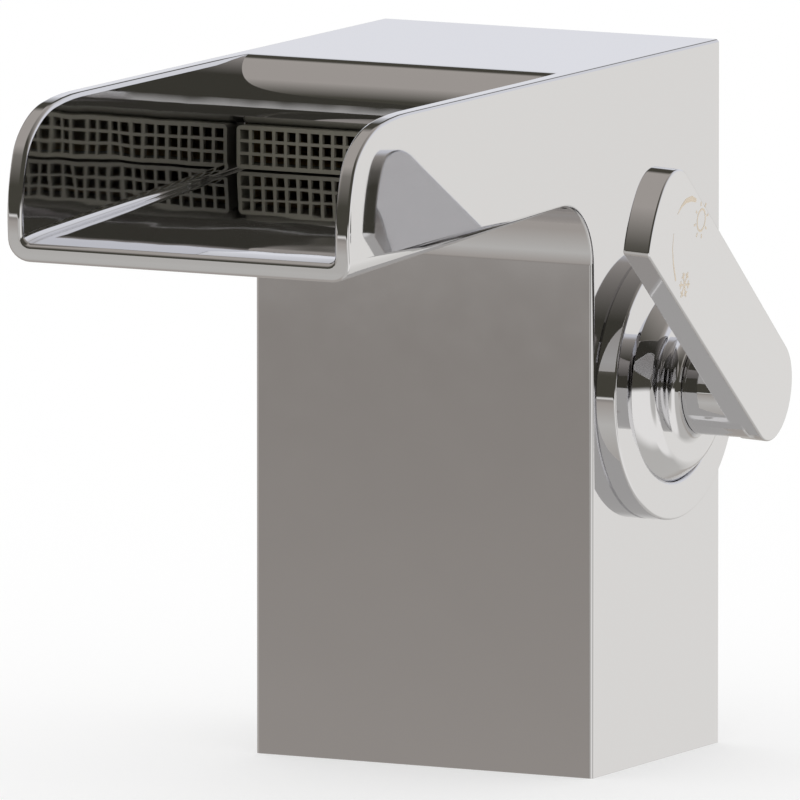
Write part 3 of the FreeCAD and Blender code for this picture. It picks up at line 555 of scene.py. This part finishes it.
# Valve manifold: a brass insert, cast and then machined, that stands in the column.
# Its foot holds the supply threads, its cup the cartridge, and its riser feeds the trough.
def machined_brass():
    """Machined brass: yellow metal with turning marks, drawn coarse enough to show."""
    material, tree = new_material("machined_brass")
    mark_mm = 0.6
    place = add_node(tree, "ShaderNodeTexCoord")
    marks = add_node(tree, "ShaderNodeTexNoise", {"Scale": 1 / (mark_mm * MM), "Detail": 2.0},
                     {"Vector": (place, "Object")})
    rough = add_node(tree, "ShaderNodeMapRange", {"To Min": 0.22, "To Max": 0.4}, {"Value": (marks, "Fac")})
    shader = add_node(tree, "ShaderNodeBsdfPrincipled", {"Base Color": linear("D8B870"), "Metallic": 1.0},
                      {"Roughness": (rough, "Result")})
    add_node(tree, "ShaderNodeOutputMaterial", links={"Surface": (shader, "BSDF")})
    return material


def plain_steel():
    """Stainless steel as drawn: grey metal with a soft sheen, its lines coarse enough to show."""
    material, tree = new_material("drawn_steel")
    line_mm = 0.3
    place = add_node(tree, "ShaderNodeTexCoord")
    lines = add_node(tree, "ShaderNodeTexNoise", {"Scale": 1 / (line_mm * MM), "Detail": 2.0},
                     {"Vector": (place, "Object")})
    rough = add_node(tree, "ShaderNodeMapRange", {"To Min": 0.25, "To Max": 0.4}, {"Value": (lines, "Fac")})
    shader = add_node(tree, "ShaderNodeBsdfPrincipled", {"Base Color": linear("C4C4C2"), "Metallic": 1.0},
                      {"Roughness": (rough, "Result")})
    add_node(tree, "ShaderNodeOutputMaterial", links={"Surface": (shader, "BSDF")})
    return material


brass = machined_brass()
steel = plain_steel()
finish_node("valve_manifold", brass)
finish_node("base_screws", steel)
for seal in ("riser_o_ring", "base_gasket"):
    finish_node(seal, rubber)


# Cartridge: a plastic shell and base around two lapped ceramic discs, under a brass ring nut.
# The fork, its steel pin and the square spindle carry the lever.
cartridge_plastic = moulded_plastic("cartridge_plastic", "E4E2DA", 0.45, 0.5)
ceramic = moulded_plastic("lapped_ceramic", "F1F0EB", 0.15, 0.2)
for piece in ("cartridge_shell", "cartridge_base", "rotor_guide", "disc_carrier"):
    finish_node(piece, cartridge_plastic)
for piece in ("fixed_disc", "moving_disc"):
    finish_node(piece, ceramic)
for piece in ("inlet_seals", "disc_seals"):
    finish_node(piece, rubber)
for piece in ("retaining_nut", "spindle"):
    finish_node(piece, brass)
finish_node("pivot_pin", steel)


# Trim ring: a turned and plated ring, pressed into the side bore of the column.
# Its inside follows the dome's sphere, so the cap rolls in it with an even gap.
lift = next(joint for joint in frame["joints"] if joint["name"] == "flow_lift")
pivot = Vector(lift["pos_m"]) / MM
lever_tilt = math.atan2(lift["axis"][1], lift["axis"][2])
dome_radius = 22.2
dome_gap = 0.3
ring_opening = 18.0
ring_edge = 0.5
ring_foot = 0.3
LATHE_STEPS = 192


def lathe(name, profile, place):
    """Solid turned about x from a closed profile of (x, radius) points, then put in place."""
    builder = bmesh.new()
    loops = []
    for i in range(LATHE_STEPS):
        a = 2 * math.pi * i / LATHE_STEPS
        loops.append([builder.verts.new((x, r * math.cos(a), r * math.sin(a))) for x, r in profile])
    for a, b in zip(loops, loops[1:] + loops[:1]):
        for i in range(len(profile)):
            j = (i + 1) % len(profile)
            builder.faces.new((a[i], a[j], b[j], b[i]))
    piece = new_piece(name, builder)
    piece.data.transform(place)
    return piece


on_side = Matrix.Translation(Vector((0, 0, pivot.z)) * MM)
seated = on_side @ Matrix.Rotation(math.pi - lever_tilt, 4, "X")
ring_radius = (ring_high.y - ring_low.y) / 2
ring_front = ring_high.x
skirt_end = ring_low.x
seat_radius = dome_radius + dome_gap
land = math.sqrt(seat_radius ** 2 - ring_opening ** 2)
skirt_depth = skirt_end - pivot.x
land_deg = math.degrees(math.atan2(ring_opening, land))
skirt_deg = math.degrees(math.acos(skirt_depth / seat_radius))
skirt_gap = 0.05
trim_ring = lathe("ring_trim", [
    (half_width, bore_radius - skirt_gap),
    (skirt_end, bore_radius - skirt_gap),
    *arc((pivot.x, 0), seat_radius, skirt_deg, land_deg),
    *arc((ring_front - ring_edge, ring_opening + ring_edge), ring_edge, 270, 360),
    *arc((ring_front - ring_edge, ring_radius - ring_edge), ring_edge, 0, 90),
    (half_width + ring_foot, ring_radius),
    (half_width, ring_radius - ring_foot),
], on_side)
polish(trim_ring)
trim_ring.data.materials.append(chrome)
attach(trim_ring, "valve")
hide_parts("trim_ring")


# Dome cap: a pressed brass cap, spherical about the lever's pivot, with a trumpet neck.
# It hides the cartridge and rolls inside the ring as the lever lifts.
dome_wall = 1.8
dome_rim = 3.85
dome_shoulder = 16.7
crown_wall = 2.3
shoulder_round = 3.0
neck_round = 2.2
stem_radius = 8.8
spigot_hole = 6.6
blend_x = dome_shoulder - shoulder_round
blend_r = math.sqrt((dome_radius - shoulder_round) ** 2 - blend_x ** 2)
blend_deg = math.degrees(math.atan2(blend_r, blend_x))
rim_deg = math.degrees(math.acos(dome_rim / dome_radius))
inner_radius = dome_radius - dome_wall
crown = dome_shoulder - crown_wall
seam = pivot.x + dome_shoulder + neck_round
dome_cap = lathe("dome_cover", [
    *arc((pivot.x, 0), dome_radius, rim_deg, blend_deg),
    *arc((pivot.x + blend_x, blend_r), shoulder_round, blend_deg, 0)[1:],
    *arc((seam, stem_radius + neck_round), neck_round, 180, 270),
    (seam, spigot_hole),
    (pivot.x + crown, spigot_hole),
    *arc((pivot.x, 0), inner_radius, math.degrees(math.acos(crown / inner_radius)),
         math.degrees(math.acos(dome_rim / inner_radius))),
], seated)
polish(dome_cap)
dome_cap.data.materials.append(chrome)
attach(dome_cap, "lever")
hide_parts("dome_cap")


# Handle: a round stem and a flat leaning paddle, die cast in one and plated.
# A grub screw under the stem holds it on the spindle, behind a small plug.
paddle_stand = 8.6
paddle_lean = math.radians(6.4)
paddle_length = 75.8
paddle_half = 10.2
paddle_rise = 0.2
paddle_thick = 5.2
paddle_edge = 0.4
root_set = 1.35
root_radius = 9.35
tip_radius = 23.5
tip_corner = 1.0
tip_round = 9.0
spigot_radius = 6.55
spigot_length = 7.5
stem_chamfer = 0.25
socket_half = 3.55
socket_end = 51.4
grub_set = 4.1
grub_radius = 2.05
leaned = Matrix.Translation(Vector((seam + paddle_stand, 0, 0)) * MM) @ Matrix.Rotation(-paddle_lean, 4, "Z")
paddle_upper = -paddle_half - paddle_rise
paddle_lower = paddle_half - paddle_rise
tip_middle = Vector((paddle_length - tip_radius, -paddle_rise))


def tip_corner_arc(edge, radius, side):
    """Round between a long edge and the curved tip: its points, and the turn where the tip takes over."""
    rise = edge - side * radius - tip_middle.y
    along = math.sqrt((tip_radius - radius) ** 2 - rise ** 2)
    turn_deg = math.degrees(math.atan2(rise, along))
    turns = (turn_deg, 90) if side > 0 else (-90, turn_deg)
    return arc(tip_middle + Vector((along, rise)), radius, *turns), turn_deg


upper_corner, upper_turn = tip_corner_arc(paddle_upper, tip_round, -1)
lower_corner, lower_turn = tip_corner_arc(paddle_lower, tip_corner, 1)
paddle_outline = [
    *arc((-root_set, paddle_upper + root_radius), root_radius, 90, 270),
    *upper_corner,
    *arc(tip_middle, tip_radius, upper_turn, lower_turn)[1:-1],
    *lower_corner,
]


def paddle_rim(middle, along):
    """Share of the rounding on one edge: the paddle's two rims, not the lines through its thickness."""
    through = 0.5
    return 0.0 if abs(along.x) > through else 1.0


handle = prism("handle_paddle", paddle_outline, 0, paddle_thick)
ease_edges(handle, paddle_edge, paddle_rim)
handle.data = bpy.data.meshes.new_from_object(handle.evaluated_get(bpy.context.evaluated_depsgraph_get()))
handle.modifiers.clear()
handle.data.transform(leaned)


def closed_rod(name, profile):
    """Solid turned about x from an open profile that starts and ends on the axis."""
    builder = bmesh.new()
    rings = []
    for x, r in profile:
        ring = []
        for i in range(LATHE_STEPS):
            a = 2 * math.pi * i / LATHE_STEPS
            ring.append(builder.verts.new((x, r * math.cos(a), r * math.sin(a))))
        rings.append(ring)
    for a, b in zip(rings, rings[1:]):
        for i in range(LATHE_STEPS):
            j = (i + 1) % LATHE_STEPS
            builder.faces.new((a[i], a[j], b[j], b[i]))
    builder.faces.new(rings[0])
    builder.faces.new(rings[-1])
    return new_piece(name, builder)


stem = closed_rod("stem", [
    (seam - spigot_length, spigot_radius),
    (seam, spigot_radius),
    (seam, stem_radius - stem_chamfer),
    (seam + stem_chamfer, stem_radius),
    (seam + paddle_stand + paddle_thick / 2, stem_radius),
])
combine(handle, stem, "UNION")
combine(handle, block("socket", seam - spigot_length - over, socket_end, -socket_half, socket_half,
                      -socket_half, socket_half))
grub_hole = closed_rod("grub_hole", [(0, grub_radius), (stem_radius + over, grub_radius)])
grub_hole.data.transform(Matrix.Translation(Vector((seam + grub_set, 0, 0)) * MM)
                         @ Matrix.Rotation(-math.pi / 2, 4, "Z"))
combine(handle, grub_hole)
handle.data.transform(seated)
polish(handle)
handle.data.materials.clear()
handle.data.materials.append(chrome)
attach(handle, "lever")
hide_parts("handle_lever")
finish_node("grub_screw", steel)
finish_node("screw_plug", chrome)


# Hot and cold marks: pad-printed signs on the paddle's face, a sun and a snowflake with two arcs.
# They are generic signs in a tan ink, a few hundredths of a millimetre thick.
ink_in = 0.05
ink_proud = 0.02
sun_middle = Vector((54.7, 7.4))
sun_radius = 2.0
ray_from = 2.7
ray_to = 3.5
ray_turn = 45
flake_middle = Vector((53.7, -5.5))
flake_radius = 2.6
flake_from = 0.25
flake_start = 30
flake_turn = 60
branch_at = 1.6
branch_long = 0.8
line_width = 0.4
# Points on the two arcs: place along the paddle, place up it and width of the line.
hot_arc = ((66.1, 2.5, 0.1), (65.4, 4.5, 0.5), (64.1, 6.4, 0.9), (61.8, 8.1, 1.1), (59.5, 8.9, 0.7))
cold_arc = ((65.3, -1.0, 0.1), (63.8, -3.4, 0.25), (61.4, -5.3, 0.4), (58.2, -7.0, 0.5))


def stroke(points):
    """Outline of a drawn line through (along, up, width) points on the paddle's face."""
    sides = ([], [])
    for i, (along, up, width) in enumerate(points):
        before, after = points[max(i - 1, 0)], points[min(i + 1, len(points) - 1)]
        across = Vector((before[1] - after[1], after[0] - before[0])).normalized() * (width / 2)
        sides[0].append(Vector((along, up)) + across)
        sides[1].append(Vector((along, up)) - across)
    return sides[0] + sides[1][::-1]


def ray(middle, turn_deg, start, end):
    """Straight stroke that points away from a middle."""
    out = Vector((math.cos(math.radians(turn_deg)), math.sin(math.radians(turn_deg))))
    return stroke([(*(middle + out * reach), line_width) for reach in (start, end)])


sun = [stroke([(*p, line_width) for p in arc(sun_middle, sun_radius, 0, 360)])]
sun += [ray(sun_middle, turn, ray_from, ray_to) for turn in range(0, 360, ray_turn)]
flake = []
for turn in range(flake_start, flake_start + 360, flake_turn):
    flake.append(ray(flake_middle, turn, flake_from, flake_radius))
    fork = flake_middle + Vector((math.cos(math.radians(turn)), math.sin(math.radians(turn)))) * branch_at
    flake += [ray(fork, turn + lean, line_width / 2, branch_long) for lean in (-flake_turn, flake_turn)]
ink = moulded_plastic("printed_ink", "D3C5B1", 0.5, 0.3)
for name, outlines in (("hot_mark", sun + [stroke(hot_arc)]), ("cold_mark", flake + [stroke(cold_arc)])):
    builder = bmesh.new()
    for outline in outlines:
        on_face = [(along, -up) for along, up in outline]
        extrude_outline(builder, on_face, paddle_thick - ink_in, paddle_thick + ink_proud)
    mark = new_piece(name, builder)
    mark.data.transform(seated @ leaned)
    mark.data.materials.append(ink)
    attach(mark, "lever")


# Floor and studio: a white sheet under the faucet, in a room of plain tones set by direction alone.
# Polished metal shows that room: a dark opening ahead of the trough, grey walls, a pale sheet
# overhead, and a table that is pale below, shaded at its far edge and lit on the right.
floor_half = 3000.0
floor_drop = 0.05
floor_builder = bmesh.new()
floor_corners = [(-1, -1), (1, -1), (1, 1), (-1, 1)]
floor_builder.faces.new([floor_builder.verts.new((x * floor_half, y * floor_half, -floor_drop))
                         for x, y in floor_corners])
floor = new_piece("floor", floor_builder)
material, tree = new_material("floor_sheet")
path = add_node(tree, "ShaderNodeLightPath")
sheet = add_node(tree, "ShaderNodeBsdfDiffuse", {"Color": linear("FFFFFF")})
white = add_node(tree, "ShaderNodeEmission", {"Color": linear("FFFFFF"), "Strength": 1.0})
seen = add_node(tree, "ShaderNodeMixShader", {"Fac": 0.5}, {1: (sheet, "BSDF"), 2: (white, "Emission")})
clear = add_node(tree, "ShaderNodeBsdfTransparent")
surface = add_node(tree, "ShaderNodeMixShader", links={"Fac": (path, "Is Glossy Ray"), 1: (seen, "Shader"),
                                                       2: (clear, "BSDF")})
add_node(tree, "ShaderNodeOutputMaterial", links={"Surface": (surface, "Shader")})
floor.data.materials.append(material)

world = bpy.data.worlds.new("studio")
bpy.context.scene.world = world
world.use_nodes = True
world.node_tree.nodes.clear()
sky = world.node_tree
path = add_node(sky, "ShaderNodeLightPath")
place = add_node(sky, "ShaderNodeTexCoord")
axes = add_node(sky, "ShaderNodeSeparateXYZ", links={"Vector": (place, "Generated")})
forward = add_node(sky, "ShaderNodeMath", {1: -1.0}, {0: (axes, "Y")}, operation="MULTIPLY")
turn = add_node(sky, "ShaderNodeMath", links={0: (axes, "Z"), 1: (forward, "Value")}, operation="ARCTAN2")
share = add_node(sky, "ShaderNodeMapRange", {"From Min": -math.pi, "From Max": math.pi},
                 {"Value": (turn, "Value")})


def room_side(tones):
    """One side of the room as a ramp, from straight down behind over the front to straight up behind."""
    ramp = add_node(sky, "ShaderNodeValToRGB", links={"Fac": (share, "Result")})
    stops = ramp.color_ramp.elements
    stops.remove(stops[1])
    for i, (turn_deg, colour) in enumerate(tones):
        stop = stops[0] if i == 0 else stops.new((turn_deg + 180) / 360)
        stop.position = (turn_deg + 180) / 360
        stop.color = linear(colour)
    return ramp


white_wall = "F6F4F0"
overhead_sheet = "EAEBF1"
pale_table = "CAC8C4"
lit_table = "FFFDFA"
grey_wall = "B2ACA6"
table_shade = "8A8580"
dark_room = "4A4840"
left_room = room_side((
    (-180, pale_table), (-140, grey_wall), (-75, grey_wall), (-30, pale_table), (-11, grey_wall),
    (-7.6, table_shade), (-7.2, white_wall), (-6.6, white_wall), (-6.2, dark_room), (12, dark_room),
    (52, grey_wall), (124, grey_wall), (134, dark_room), (153, dark_room), (160, overhead_sheet),
    (174, overhead_sheet), (178, pale_table)))
right_room = room_side((
    (-165, white_wall), (-140, pale_table), (-8.3, pale_table), (-7.9, dark_room), (60, dark_room),
    (130, grey_wall), (150, overhead_sheet)))
side_blend = 0.1
across = add_node(sky, "ShaderNodeMapRange", {"From Min": -side_blend, "From Max": side_blend},
                  {"Value": (axes, "X")}, interpolation_type="SMOOTHSTEP")
room = add_node(sky, "ShaderNodeMix", links={"Factor": (across, "Result"), "A": (left_room, "Color"),
                                             "B": (right_room, "Color")}, data_type="RGBA")
# The lit table's directions: on each axis where it starts and ends, and how lit it is at each.
lit_limits = (("X", 0.52, 0.66, 0.0, 1.0), ("X", 0.86, 0.95, 1.0, 0.0), ("Z", -0.08, 0.02, 1.0, 0.0))
lit = None
for axis, low, high, share_low, share_high in lit_limits:
    limits = {"From Min": low, "From Max": high, "To Min": share_low, "To Max": share_high}
    limit = add_node(sky, "ShaderNodeMapRange", limits, {"Value": (axes, axis)},
                     interpolation_type="SMOOTHSTEP")
    if lit is None:
        lit = (limit, "Result")
    else:
        both = add_node(sky, "ShaderNodeMath", links={0: lit, 1: (limit, "Result")}, operation="MULTIPLY")
        lit = (both, "Value")
walls = add_node(sky, "ShaderNodeMix", {"B": linear(lit_table)}, {"Factor": lit, "A": (room, "Result")},
                 data_type="RGBA")
studio = add_node(sky, "ShaderNodeBackground", {"Strength": 1.0}, {"Color": (walls, "Result")})
plain = add_node(sky, "ShaderNodeBackground", {"Color": linear("FFFFFF"), "Strength": 1.0})
shown = add_node(sky, "ShaderNodeMixShader", links={"Fac": (path, "Is Glossy Ray"), 1: (plain, "Background"),
                                                    2: (studio, "Background")})
add_node(sky, "ShaderNodeOutputWorld", links={"Surface": (shown, "Shader")})


# Camera: a long lens from the front right, a little above the trough, so that edges stay near parallel.
# Its place and aim were worked out from straight edges of the column and the trough.
camera_azimuth = math.radians(27.443)
camera_elevation = math.radians(7.704)
camera_distance = 4.683
aim_height = 65.0
aim_right = -4.332
aim_up = 3.131
sensor_mm = 36.0
lens_mm = 1143.5
backward = Vector((math.sin(camera_azimuth) * math.cos(camera_elevation),
                   -math.cos(camera_azimuth) * math.cos(camera_elevation), math.sin(camera_elevation)))
rightward = Vector((math.cos(camera_azimuth), math.sin(camera_azimuth), 0))
upward = backward.cross(rightward)
aim = (Vector((0, front, aim_height)) + rightward * aim_right + upward * aim_up) * MM
camera_data = bpy.data.cameras.new("camera")
camera_data.lens = lens_mm
camera_data.sensor_width = sensor_mm
camera = bpy.data.objects.new("camera", camera_data)
bpy.context.scene.collection.objects.link(camera)
camera.matrix_world = (Matrix.Translation(aim + backward * camera_distance)
                       @ Matrix((rightward, upward, backward)).transposed().to_4x4())
bpy.context.scene.camera = camera
bpy.context.scene.view_settings.view_transform = "Standard"
